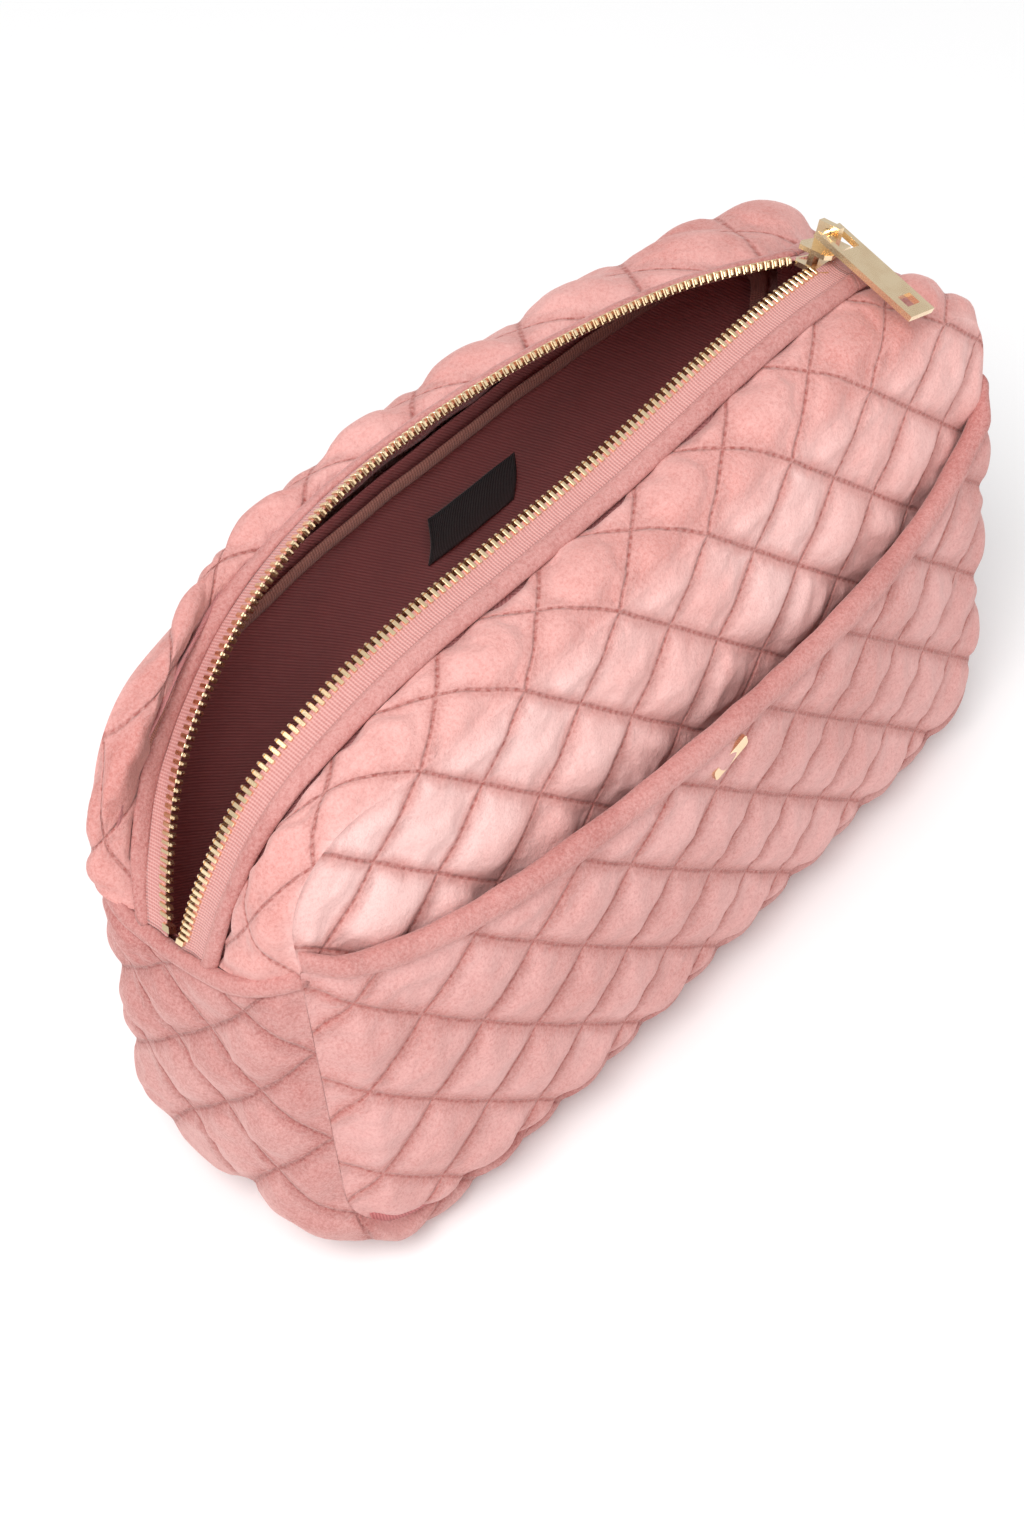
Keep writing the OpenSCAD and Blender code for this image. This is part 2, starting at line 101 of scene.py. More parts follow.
def backPoint(x, z):
    u = abs(x) / bag["halfLength"]
    fold = 1 + bag["backFold"] * (climb(z) if x < 0 else 0)
    y = bag["backDepth"] + bow(x, z) - bag["backSetback"] * fold * u ** 3
    return Vector((x, y, z - bag["backDrop"] * climb(z)))


def panelPoint(x, z, side):
    return frontPoint(x, z) if side < 0 else backPoint(x, z)


# seam round a panel, as runs of [length, share -> (x, z, outward x, outward z)]
def corner(x, z, start, share):
    g = math.radians(start - 90 * share)
    r = bag["cornerRadius"]
    return (x + r * math.cos(g), z + r * math.sin(g), math.cos(g), math.sin(g))


def seamRuns():
    h, r, top, low = bag["halfLength"], bag["cornerRadius"], bag["topSeam"], bag["bottomSeam"]
    cross, turn, long = bag["crossSeam"], math.pi * r / 2, 2 * (h - r)
    over = [
        (top - r - cross, lambda t: (-h, mix(cross, top - r, t), -1, 0)),
        (turn, lambda t: corner(-h + r, top - r, 180, t)),
        (long, lambda t: (mix(-h + r, h - r, t), top, 0, 1)),
        (turn, lambda t: corner(h - r, top - r, 90, t)),
        (top - r - cross, lambda t: (h, mix(top - r, cross, t), 1, 0)),
    ]
    under = [
        (cross - low - r, lambda t: (h, mix(cross, low + r, t), 1, 0)),
        (turn, lambda t: corner(h - r, low + r, 0, t)),
        (long, lambda t: (mix(h - r, -h + r, t), low, 0, -1)),
        (turn, lambda t: corner(-h + r, low + r, -90, t)),
        (cross - low - r, lambda t: (-h, mix(low + r, cross, t), -1, 0)),
    ]
    return over, under


overRuns, underRuns = seamRuns()
overLength = sum(run[0] for run in overRuns)
underLength = sum(run[0] for run in underRuns)


def seamRow(runs, s):
    for length, row in runs:
        if s <= length or row is runs[-1][1]:
            return row(clamp(s / length))
        s -= length


# line of the zip
zipper = {
    "left": Vector((-130, 3, 108.5)), "right": Vector((91, -5, 166)), "end": Vector((130, 1, 112)),
    "rise": 44, "frontOpen": 10, "backOpen": 45, "frontSlope": 20, "backSlope": 45,
    "frontArc": [(0, 0), (0.05, 0.43), (0.13, 0.83), (0.23, 0.95), (0.34, 0.9), (0.47, 0.71),
                 (0.62, 0.5), (0.78, 0.37), (0.9, 0.22), (1, 0)],
    "backArc": [(0, 0), (0.05, 0.27), (0.14, 0.62), (0.27, 0.88), (0.41, 0.98), (0.55, 0.92),
                (0.71, 0.72), (0.865, 0.42), (1, 0)],
    "tapeFrom": 2.8, "tapeTo": 7.8, "fabricFrom": 8.1, "pitch": 2,
}
chord = zipper["right"] - zipper["left"]
chordLength = chord.length
chordDir = chord / chordLength
chordUp = (upward - chordDir * chordDir.z).normalized()
chordBack = chordUp.cross(chordDir)


def curveThrough(points, t):
    n = len(points) - 1
    k = min(int(t * n), n - 1)
    f = t * n - k
    a, b, c, d = points[max(k - 1, 0)], points[k], points[k + 1], points[min(k + 2, n)]
    square, cube = 2 * a - 5 * b + 4 * c - d, 3 * b - a - 3 * c + d
    return 0.5 * (2 * b + (c - a) * f + square * f ** 2 + cube * f ** 3)


def measured(points):
    points = np.array([list(p) for p in points])
    return np.concatenate([[0], np.cumsum(np.linalg.norm(np.diff(points, axis=0), axis=1))]), points


def arcTable(shape):
    shape = [Vector(p) for p in shape]
    dots = [curveThrough(shape, k / 96) for k in range(97)]
    return measured([(p.x * chordLength, p.y * zipper["rise"]) for p in dots])


backKeys, backDots = arcTable(zipper["backArc"])
frontKeys, frontDots = arcTable(zipper["frontArc"])
openLength = backKeys[-1]
frontKeys = frontKeys * openLength / frontKeys[-1]
right, end = zipper["right"], zipper["end"]
closedShape = [right, mix(right, end, 0.36) + Vector((0, 0, 11)), mix(right, end, 0.7) + Vector((3, 0, 11)),
               mix(right, end, 0.88) + Vector((2, 0, 5)), end]
closedKeys, closedDots = measured([curveThrough(closedShape, k / 96) for k in range(97)])
zipLength = openLength + closedKeys[-1]


def zipPoint(s, side):
    if s >= openLength:
        return Vector([np.interp(s - openLength, closedKeys, closedDots[:, k]) for k in range(3)])
    keys, dots = (frontKeys, frontDots) if side < 0 else (backKeys, backDots)
    angle = math.radians(-zipper["frontOpen"] if side < 0 else zipper["backOpen"])
    rise = np.interp(s, keys, dots[:, 1])
    return (zipper["left"] + chordDir * np.interp(s, keys, dots[:, 0])
            + (chordUp * math.cos(angle) + chordBack * math.sin(angle)) * rise)


def zipFrame(s, side):
    along = (zipPoint(s + 1, side) - zipPoint(s - 1, side)).normalized()
    slope = zipper["frontSlope"] if side < 0 else zipper["backSlope"]
    angle = math.radians(slope * math.sin(math.pi * clamp(s / zipLength)))
    across = Vector((0, side * math.cos(angle), -math.sin(angle)))
    up = along.cross(across).normalized()
    return zipPoint(s, side), along, across, up if up.z > 0 else -up


# strips between the panels' top seams and the zip
strips = {"frontPuff": 3, "backPuff": 6, "ridge": 4.2, "cut": 96}


def stripEnds(s, side):
    x, z, nx, nz = seamRow(overRuns, s)
    point, along, across, up = zipFrame(zipLength * s / overLength, side)
    return panelPoint(x, z, side), point + across * zipper["fabricFrom"], Vector((nx, 0, nz))


def stripPoint(s, t, side):
    # puffed out between the seam and the ridge, flat under the ridge
    a, b, outward = stripEnds(s, side)
    d = (b - a).normalized()
    flat = (d * outward.dot(d) - outward).normalized()
    puff = strips["frontPuff"] if side < 0 else strips["backPuff"]
    quilted = 1 - strips["ridge"] / (b - a).length
    return mix(a, b, t) - flat * puff * math.sin(math.pi * clamp(t / quilted))


# band round the sides and base
def bandPoint(s, v):
    x, z, nx, nz = seamRow(underRuns, s)
    w = 2 * v - 1
    profile = min(1, 1.07 * (1 - abs(w) ** 4))
    fade = max(0, (z - 38) / 78) ** 2
    seam = mix(frontPoint(x, z), backPoint(x, z), v)
    near = clamp((abs(w) - 0.55) / 0.45)
    roll = math.sin(math.pi * near) * smooth(-nz * 1.25) * bag["roll"]
    return seam + Vector((bag["bandBulge"] * nx * profile, -roll if w < 0 else roll * 0.6,
                          14 * nz * profile - bag["bandSag"] * (1 - w * w) * fade + roll * near ** 2 * 1.3))


# pocket on the front
pocket = {"sag": 14.5, "gap": 7, "clear": 0.8, "thick": 3.6, "endRise": 2.5, "skew": 6}


def pocketEdge(x):
    u = clamp(x / bag["halfLength"], -1, 1)
    return bag["crossSeam"] + pocket["endRise"] - pocket["sag"] * (1 - u ** 6) - pocket["skew"] * u * (1 - u * u)


def pocketPoint(x, z):
    u = x / bag["halfLength"]
    up = clamp(climb(z) / climb(pocketEdge(x)))
    lift = pocket["clear"] + (pocket["gap"] - pocket["clear"]) * (1 - u * u) * up ** 1.3
    away = outlineDistance(x, z)[0]
    return frontPoint(x, z) - backward * (lift + pocket["thick"]) * smooth(0.12 - away / 9)


def outlineDistance(x, z, inset=0.0):
    # signed distance to the rounded outline of a panel, and the outward direction
    middle = (bag["topSeam"] + bag["bottomSeam"]) / 2
    r = bag["cornerRadius"] - inset
    hx, hz = bag["halfLength"] - bag["cornerRadius"], bag["topSeam"] - middle - bag["cornerRadius"]
    qx, qz = abs(x) - hx, abs(z - middle) - hz
    sx, sz = (1 if x >= 0 else -1), (1 if z >= middle else -1)
    if qx > 0 and qz > 0:
        away = math.hypot(qx, qz)
        return away - r, (sx * qx / away, sz * qz / away)
    return (qx - r, (sx, 0)) if qx > qz else (qz - r, (0, sz))


# shader maths
class Wire:
    def __init__(self, finish, socket):
        self.finish, self.socket = finish, socket

    def calc(self, operation, *values):
        return self.finish.add("ShaderNodeMath", {"operation": operation}, dict(enumerate(values)))

    def __add__(self, other):
        return self.calc("ADD", self, other)

    def __sub__(self, other):
        return self.calc("SUBTRACT", self, other)

    def __rsub__(self, other):
        return self.calc("SUBTRACT", other, self)

    def __mul__(self, other):
        return self.calc("MULTIPLY", self, other)


class Finish:
    def __init__(self, name):
        self.material = bpy.data.materials.new(name)
        self.material.use_nodes = True
        self.tree = self.material.node_tree
        self.tree.nodes.clear()

    def add(self, kind, settings=None, sockets=None, result=0):
        node = self.tree.nodes.new(kind)
        for key, value in (settings or {}).items():
            if key == "stops":
                while len(node.color_ramp.elements) < len(value):
                    node.color_ramp.elements.new(0.5)
                for stop, (place, colour) in zip(node.color_ramp.elements, value):
                    stop.position, stop.color = place, (*colour, 1)
            else:
                setattr(node, key, value)
        for key, value in (sockets or {}).items():
            if isinstance(value, Wire):
                self.tree.links.new(value.socket, node.inputs[key])
            else:
                node.inputs[key].default_value = value
        return None if result is None else Wire(self, node.outputs[result])

    def blendOf(self, share, a, b):
        a, b = [(*c, 1) if isinstance(c, tuple) else c for c in (a, b)]
        return self.add("ShaderNodeMix", {"data_type": "RGBA"}, {0: share, 6: a, 7: b}, 2)

    def ramp(self, value, low, high, bottom=0.0, top=1.0):
        return self.add("ShaderNodeMapRange", {"interpolation_type": "SMOOTHSTEP"},
                        {0: value, 1: low, 2: high, 3: bottom, 4: top})

    def speckle(self, where, scale, detail=2.0, rough=0.5):
        return self.add("ShaderNodeTexNoise", {}, {"Vector": where, "Scale": scale, "Detail": detail,
                                                   "Roughness": rough})

    def bump(self, height, depth, normal=None, strength=1.0):
        sockets = {"Height": height, "Distance": depth, "Strength": strength}
        if normal:
            sockets["Normal"] = normal
        return self.add("ShaderNodeBump", {}, sockets)

    def onPiece(self):
        return self.add("ShaderNodeTexCoord", {}, {}, "Object")

    def clothAxes(self):
        # the two directions of the cloth as separate values
        split = self.add("ShaderNodeSeparateXYZ", {}, {0: self.add("ShaderNodeUVMap", {"uv_map": "cloth"})})
        return split, Wire(self, split.socket.node.outputs[1])

    def stitchGap(self, diamond):
        # distance in millimetres to the nearest line of quilting, and the run along it
        across, down = self.clothAxes()
        u, v = across * 100, down * 100
        rising, falling = (u + v), (u - v)
        first = rising.calc("PINGPONG", rising, diamond / 2) * math.sqrt(0.5)
        second = falling.calc("PINGPONG", falling, diamond / 2) * math.sqrt(0.5)
        gap = first.calc("MINIMUM", first, second)
        nearFirst = first.calc("LESS_THAN", first, second)
        run = (falling * nearFirst + rising * (1 - nearFirst)) * math.sqrt(0.5)
        return gap, run

    def done(self, sockets):
        surface = self.add("ShaderNodeBsdfPrincipled", {}, sockets)
        self.add("ShaderNodeOutputMaterial", {}, {"Surface": surface}, None)
        return self.material


# valley is a painted shade colour for the stitch grooves and folds, also used for the dark grain specks; crown
# and pile are the velvet's own tones, mixed by random nap patches
velvetLook = {
    "crown": (0.84, 0.54, 0.51), "pile": (0.72, 0.36, 0.33), "valley": (0.34, 0.075, 0.06),
    "nap": 20, "patch": 62, "grain": 1250, "fuzz": 2600, "roughness": 0.75, "sheen": 0.4, "stitch": 2.6,
}


def velvetFinish(name, crown, pile, valley, quilted=True, rosy=None):
    f = Finish(name)
    place = f.onPiece()
    puff = f.add("ShaderNodeAttribute", {"attribute_name": "crown"}, {}, "Fac")
    wide = f.speckle(place, velvetLook["nap"], 3.0, 0.55)
    near = f.speckle(place, velvetLook["patch"] * 3, 3.0, 0.6)
    fuzz = f.speckle(place, velvetLook["fuzz"], 2.0, 0.7)
    brushed = f.ramp(wide * 0.8 + near * 0.2, 0.3, 0.68)
    shade = f.blendOf(brushed, pile, crown)
    # the strips, and the panels next to the top seam, get a darker rose copy of the same velvet: painted shade
    # for the strip's facing and the fold at the top seam
    if rosy:
        stripShadeMask = f.add("ShaderNodeAttribute", {"attribute_name": "rosy"}, {}, "Fac")
        stripShadeMask = f.ramp(stripShadeMask + (wide - 0.5) * 0.5, 0.15, 0.85)
        shade = f.blendOf(stripShadeMask, shade, f.blendOf(brushed, rosy[1], rosy[0]))
    if quilted:
        # colour darkens to the valley colour towards each stitch line: painted shade in the quilting grooves,
        # with the stitch dots along the darkest line
        gap, run = f.stitchGap(31.5)
        thread = f.ramp(run.calc("SINE", run * (2 * math.pi / velvetLook["stitch"])), -0.5, 0.5)
        depth = f.ramp(gap + (near - 0.5) * 2.4, 0.0, 3.6)
        shade = f.blendOf(depth, f.blendOf(0.6, valley, pile), shade)
        shade = f.blendOf(f.ramp(gap, 0.15, 0.75), f.blendOf(thread * 0.3, valley, pile), shade)
    else:
        # darker where the crown attribute is low: painted shade in the folds
        shade = f.blendOf(f.ramp(puff, 0.0, 0.5), f.blendOf(0.4, valley, pile), shade)
    grain = f.speckle(place, velvetLook["grain"], 2.0, 0.65)
    shade = f.blendOf(f.ramp(grain * 0.5 + fuzz * 0.5, 0.3, 0.7, 0.0, 0.3), shade, (0.92, 0.60, 0.56))
    shade = f.blendOf(f.ramp(grain, 0.25, 0.55, 0.13, 0.0), shade, valley)
    relief = f.bump(fuzz, 0.00035, strength=0.55)
    relief = f.bump(near, 0.0016, relief, 0.5)
    if quilted:
        pucker = f.speckle(place, 210, 1.0, 0.4)
        relief = f.bump(pucker * f.ramp(gap, 0.3, 4.0, 1.0, 0.0), 0.0016, relief, 0.6)
        relief = f.bump(f.ramp(gap, 0.0, 0.9), 0.0005, relief, 0.7)
    return f.done({
        "Base Color": shade, "Roughness": velvetLook["roughness"], "Specular IOR Level": 0.18,
        "Sheen Weight": velvetLook["sheen"], "Sheen Roughness": 0.38, "Sheen Tint": (1.0, 0.72, 0.68, 1),
        "Normal": relief,
    })


def twillFinish(name, light, dark, pitch, herring=0.0):
    # diagonal ribs about a millimetre apart, turning every few ribs where it is a herringbone
    f = Finish(name)
    across, down = f.clothAxes()
    if herring:
        across = across.calc("PINGPONG", across, herring)
    rib = (across + down).calc("SINE", (across + down) * (2 * math.pi / pitch)) * 0.5 + 0.5
    weft = down.calc("SINE", down * (2 * math.pi / (pitch * 0.55))) * 0.5 + 0.5
    place = f.onPiece()
    grain = f.speckle(place, 700, 2.0)
    wash = f.speckle(place, 30, 3.0)
    colour = f.blendOf(f.ramp(rib * 0.7 + weft * 0.15 + grain * 0.3, 0.2, 0.95), dark, light)
    colour = f.blendOf(f.ramp(wash, 0.3, 0.7, 0.0, 0.3), colour, dark)
    relief = f.bump(rib * 0.8 + weft * 0.2, 0.00016, strength=0.8)
    return f.done({"Base Color": colour, "Roughness": 0.62, "Specular IOR Level": 0.3, "Sheen Weight": 0.25,
                   "Sheen Roughness": 0.4, "Sheen Tint": (1.0, 0.75, 0.75, 1), "Normal": relief})


def ribFinish(name, light, dark, pitch, roughness=0.7):
    # woven tape with ribs across its length
    f = Finish(name)
    along, over = f.clothAxes()
    rib = along.calc("SINE", along * (2 * math.pi / pitch)) * 0.5 + 0.5
    yarn = over.calc("SINE", over * (2 * math.pi / pitch * 1.3)) * 0.5 + 0.5
    grain = f.speckle(f.onPiece(), 900, 2.0)
    colour = f.blendOf(f.ramp(rib * 0.5 + yarn * 0.25 + grain * 0.35, 0.15, 0.9), dark, light)
    relief = f.bump(rib * yarn * 0.5 + rib * 0.5, 0.0002, strength=0.9)
    return f.done({"Base Color": colour, "Roughness": roughness, "Specular IOR Level": 0.25,
                   "Sheen Weight": 0.2, "Normal": relief})


def metalFinish(name, tone, worn, roughness):
    f = Finish(name)
    place = f.onPiece()
    cloud = f.speckle(place, 160, 4.0)
    hair = f.speckle(place, 3200, 2.0)
    colour = f.blendOf(f.ramp(cloud, 0.35, 0.7), tone, worn)
    rough = f.ramp(cloud * 0.6 + hair * 0.4, 0.3, 0.7, roughness * 0.75, roughness * 1.35)
    return f.done({"Base Color": colour, "Metallic": 1.0, "Roughness": rough,
                   "Normal": f.bump(hair, 0.00003, strength=0.4)})


def paleFloorFinish():
    f = Finish("pale_floor")
    grain = f.speckle(f.onPiece(), 8, 2.0)
    return f.done({"Base Color": f.blendOf(grain, (0.93, 0.93, 0.935), (0.95, 0.95, 0.95)), "Roughness": 0.7,
                   "Specular IOR Level": 0.2})


# the second pair of colours is the strips' darker copy of the same velvet: painted shade
quiltedVelvet = velvetFinish("quilted_velvet", velvetLook["crown"], velvetLook["pile"], velvetLook["valley"],
                             rosy=((0.72, 0.36, 0.33), (0.55, 0.195, 0.17)))
# band, pocket and folded velvet are darker copies of the one velvet: painted shade for how these parts sit to
# the light
bandVelvet = velvetFinish("band_velvet_painted_shade", (0.55, 0.27, 0.25), (0.42, 0.135, 0.12), (0.26, 0.055, 0.045))
pocketVelvet = velvetFinish("pocket_velvet_painted_shade", (0.66, 0.345, 0.325), (0.53, 0.225, 0.205), velvetLook["valley"])
foldedVelvet = velvetFinish("folded_velvet_painted_shade", (0.55, 0.235, 0.215), (0.42, 0.14, 0.125), (0.30, 0.07, 0.06),
                            quilted=False)
bodyLining = twillFinish("body_lining", (0.62, 0.21, 0.205), (0.43, 0.115, 0.115), 0.011)
stripLining = twillFinish("strip_lining", (0.64, 0.27, 0.26), (0.44, 0.15, 0.15), 0.013, 0.05)
ribbedTape = ribFinish("ribbed_tape", (0.66, 0.30, 0.24), (0.40, 0.15, 0.12), 0.008)
wovenTape = ribFinish("woven_tape", (0.74, 0.39, 0.36), (0.52, 0.21, 0.19), 0.0085)
labelWeave = ribFinish("label_weave", (0.028, 0.022, 0.024), (0.008, 0.006, 0.007), 0.006, roughness=0.5)
paleGold = metalFinish("pale_gold", (0.95, 0.76, 0.50), (0.86, 0.65, 0.41), 0.24)
toothGold = metalFinish("tooth_gold", (0.98, 0.77, 0.50), (0.86, 0.63, 0.38), 0.27)
print("materials made")


# meshes
def newPiece(name, bm, finish, smoothed=True):
    mesh = bpy.data.meshes.new(name)
    bm.to_mesh(mesh)
    bm.free()
    piece = bpy.data.objects.new(name, mesh)
    bpy.context.scene.collection.objects.link(piece)
    mesh.shade_smooth() if smoothed else mesh.shade_flat()
    mesh.materials.append(finish)
    return piece


def gridOf(columns, rows):
    bm = bmesh.new()
    bm.loops.layers.uv.new("cloth")
    bmesh.ops.create_grid(bm, x_segments=columns, y_segments=rows, size=0.5)
    return bm


def cellOf(vert, columns, rows):
    return round((vert.co.x + 0.5) * columns), round((vert.co.y + 0.5) * rows)


def faceAway(bm, inside):
    # turns the whole grid so that its faces look away from a point inside
    bm.normal_update()
    facing = sum(f.normal.dot(f.calc_center_median() - inside) * f.calc_area() for f in bm.faces)
    if facing < 0:
        bmesh.ops.reverse_faces(bm, faces=bm.faces[:])
        bm.normal_update()


def applied(piece):
    # bakes the modifiers of a piece into its mesh
    graph = bpy.context.evaluated_depsgraph_get()
    old = piece.data
    fresh = bpy.data.meshes.new_from_object(piece.evaluated_get(graph), preserve_all_data_layers=True,
                                            depsgraph=graph)
    piece.modifiers.clear()
    piece.data = fresh
    fresh.name = piece.name
    bpy.data.meshes.remove(old)


quilting = {
    "cell": 31.5 / 16, "valley": -0.9, "pad": 2.2, "pressure": 5, "shrink": -0.05, "stiffness": 14,
    "frames": 20, "cap": 1.6, "inside": Vector((0, 0, 75)) * mm, "firstColumn": -85, "pocketFirst": 10.75,
}
waiting = []  # quilts that still wait for the cloth simulation


def quilt(name, columns, rows, place, finish, inside=None, tucked=None, rosy=None):
    # columns and rows are lattice ranges; place gives (point, distance from a sewn edge, keep) in millimetres
    wide, deep = columns[1] - columns[0], rows[1] - rows[0]
    bm = gridOf(wide, deep)
    crown = bm.verts.layers.float.new("crown")
    stripShadeLayer = bm.verts.layers.float.new("rosy")
    pins = bm.verts.layers.deform.verify()
    uv = bm.loops.layers.uv["cloth"]
    cells, edge, outside = {}, {}, set()
    for v in bm.verts:
        i, j = cellOf(v, wide, deep)
        i, j = i + columns[0], j + rows[0]
        cells[v] = (i, j)
        point, edge[v], keep = place(i, j)
        if not keep:
            outside.add(v)
        v.co = point * mm
    for f in bm.faces:
        for loop in f.loops:
            i, j = cells[loop.vert]
            loop[uv].uv = (i * quilting["cell"] * 0.01, j * quilting["cell"] * 0.01)
    bmesh.ops.delete(bm, geom=[f for f in bm.faces if all(v in outside for v in f.verts)], context="FACES")
    faceAway(bm, inside or quilting["inside"])
    normals = {v: v.normal.copy() for v in bm.verts}
    for v in bm.verts:
        i, j = cells[v]
        a, b = (i + j) % 16, (i - j) % 16
        dome = math.sin(math.pi * a / 16) * math.sin(math.pi * b / 16)
        rim = smooth(edge[v] / 6)
        height = dome ** 0.4 * rim * (tucked(cells[v]) if tucked else 1)
        v[crown] = min(min(a, 16 - a), min(b, 16 - b)) / 8 * (0.35 + 0.65 * rim)
        # weight for the painted strip shade
        v[stripShadeLayer] = rosy(i, j) if rosy else 0.0
        v.co += normals[v] * mix(quilting["valley"], quilting["pad"], height) * clamp(edge[v] / 3) * mm
        if a == 0 or b == 0 or edge[v] < 0.4:
            v[pins][0] = 1.0
    bmesh.ops.remove_doubles(bm, verts=bm.verts[:], dist=0.05 * mm)
    piece = newPiece(name, bm, finish)
    piece.vertex_groups.new(name="pin")
    waiting.append(piece)
    return piece


def simulate():
    scene = bpy.context.scene
    scene.frame_start, scene.frame_end = 1, quilting["frames"]
    starts = {}
    for piece in waiting:
        starts[piece] = np.array([v.co for v in piece.data.vertices])
        cloth = piece.modifiers.new("swell", "CLOTH")
        s = cloth.settings
        s.quality, s.mass, s.air_damping = 4, 0.3, 1.5
        s.tension_stiffness = s.compression_stiffness = quilting["stiffness"]
        s.shear_stiffness, s.bending_stiffness = 5, 0.4
        s.use_pressure, s.uniform_pressure_force = True, quilting["pressure"]
        s.shrink_min = quilting["shrink"]
        s.vertex_group_mass = "pin"
        s.effector_weights.gravity = 0
        cloth.collision_settings.use_collision = False
        cloth.point_cache.frame_start, cloth.point_cache.frame_end = 1, quilting["frames"]
    for step in range(1, quilting["frames"] + 1):
        scene.frame_set(step)
    graph = bpy.context.evaluated_depsgraph_get()
    shapes = {p: np.array([v.co for v in p.evaluated_get(graph).data.vertices]) for p in waiting}
    for piece in waiting:
        moved = shapes[piece] - starts[piece]
        far = np.linalg.norm(moved, axis=1)
        limit = quilting["cap"] * mm
        moved *= (limit * np.tanh(far / limit) / np.maximum(far, 1e-9))[:, None]
        print(piece.name, "swelled by up to", round(float(far.max() / mm), 2), "mm")
        piece.modifiers.clear()
        piece.data.vertices.foreach_set("co", (starts[piece] + moved).ravel())
        piece.data.update()
    scene.frame_set(1)


def softened(piece):
    finer = piece.modifiers.new("finer", "SUBSURF")
    finer.levels = finer.render_levels = 1
    applied(piece)
    piece.vertex_groups.clear()
    piece.data.shade_smooth()


cell = quilting["cell"]


def panelPlace(side):
    def place(i, j):
        x, z = quilting["firstColumn"] + cell * i, bag["topSeam"] - cell * j
        away, (nx, nz) = outlineDistance(x, z)
        if away > -0.35 * cell:
            x, z = x - nx * away, z - nz * away
        return panelPoint(x, z, side), -away if away < -0.35 * cell else 0, away < 0
    return place


def behindPocket(spot):
    # 1 above the pocket's edge, 0 well inside the pocket
    x, z = quilting["firstColumn"] + cell * spot[0], bag["topSeam"] - cell * spot[1]
    return smooth((z - pocketEdge(x) + 14) / 12)


# weight of the painted strip shade on a panel: half at the top seam, fading out within 7 mm
def stripShadeOnPanel(i, j):
    return 0.5 * smooth(1 - cell * j / 7)


# weight of the painted strip shade across a strip: half at the top seam, full in the middle, a little over half
# at the zip side
def stripShadeOnStrip(i, j):
    return mix(0.5, 1.0, smooth(cell * j / 6)) - 0.45 * smooth(j / 6.5 - 1)


frontQuilt = quilt("frontQuilt", (-21, 107), (-1, 72), panelPlace(-1), quiltedVelvet, tucked=behindPocket,
                   rosy=stripShadeOnPanel)
backQuilt = quilt("backQuilt", (-21, 107), (-1, 72), panelPlace(1), quiltedVelvet, rosy=stripShadeOnPanel)
print("panels laid out")


def stripPlace(side):
    # the strip's quilting runs on from the panel's, measured along the top seam
    def place(i, j):
        s = clamp(cell * i + quilting["firstColumn"] + overLength / 2, 0, overLength)
        a, b, outward = stripEnds(s, side)
        reach = (b - a).length
        t = j / 13 * (1 - strips["ridge"] / reach)
        edge = min(cell * j, cell * (13 - j) + 1.5, s, overLength - s)
        return stripPoint(s, t, side), edge, True
    return place


frontStrip = quilt("frontStrip", (-33, 119), (0, 13), stripPlace(-1), quiltedVelvet, rosy=stripShadeOnStrip)
backStrip = quilt("backStrip", (-33, 119), (0, 13), stripPlace(1), quiltedVelvet, rosy=stripShadeOnStrip)
print("strips laid out")


def bandPlace(i, j):
    s = clamp(underLength / 2 + cell * i, 0, underLength)
    v = clamp(j / 40)
    edge = min(cell * j, cell * (40 - j), s, underLength - s)
    return bandPoint(s, v), edge, True


bandQuilt = quilt("bandQuilt", (-109, 109), (0, 40), bandPlace, bandVelvet)
print("band laid out, half its length", round(underLength / 2, 1))


def pocketPlace(i, j):
    x, z = quilting["pocketFirst"] + cell * i, quilting["pocketFirst"] + cell * j
    away, (nx, nz) = outlineDistance(x, z)
    if away > -0.35 * cell:
        x, z = x - nx * away, z - nz * away
    top = pocketEdge(x)
    over = z - top
    if over > -0.35 * cell:
        z = top
    edge = min(-away if away < -0.35 * cell else 0, -over if over < -0.35 * cell else 0)
    return pocketPoint(x, z), edge, away < 0 and over < 0


pocketQuilt = quilt("pocketQuilt", (-69, 58), (1, 56), pocketPlace, pocketVelvet, Vector((0, 60, 60)) * mm)
print("pocket laid out")

simulate()
print("cloth simulated")
for piece in waiting:
    softened(piece)
for v in bandQuilt.data.vertices:
    v.co.z = max(v.co.z, cadBox[0][2])  # the base lies flat on the floor

for piece, nodes in ((frontQuilt, ("front_panel", "front_wadding")), (backQuilt, ("back_panel", "back_wadding")),
                     (bandQuilt, ("side_base_band", "band_wadding")),
                     (pocketQuilt, ("pocket_panel", "pocket_wadding"))):
    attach(piece, "bag")
    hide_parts(*nodes)


def cutByCloth(piece, name, keepFront):
    # keeps the part of a strip on one side of a stitch line, so the open and the closed part can move apart
    bm = bmesh.new()
    bm.from_mesh(piece.data)
    uv = bm.loops.layers.uv["cloth"]
    size = cell * 0.01
    gone = []
    for f in bm.faces:
        u = sum(l[uv].uv.x for l in f.loops) / len(f.loops) / size
        v = sum(l[uv].uv.y for l in f.loops) / len(f.loops) / size
        if (u + v < strips["cut"]) != keepFront:
            gone.append(f)
    bmesh.ops.delete(bm, geom=gone, context="FACES")
    return newPiece(name, bm, piece.data.materials[0])


def splitStrip(piece, name, side):
    nodes = ("front_zip_strip", "front_strip_wadding") if side < 0 else ("back_zip_strip", "back_strip_wadding")
    openPart = cutByCloth(piece, name + "Open", True)
    closedPart = cutByCloth(piece, name + "Closed", False)
    bpy.data.objects.remove(piece)
    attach(closedPart, "bag")
    followMouth(openPart, side)
    for part in (openPart, closedPart):
        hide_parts(*nodes)


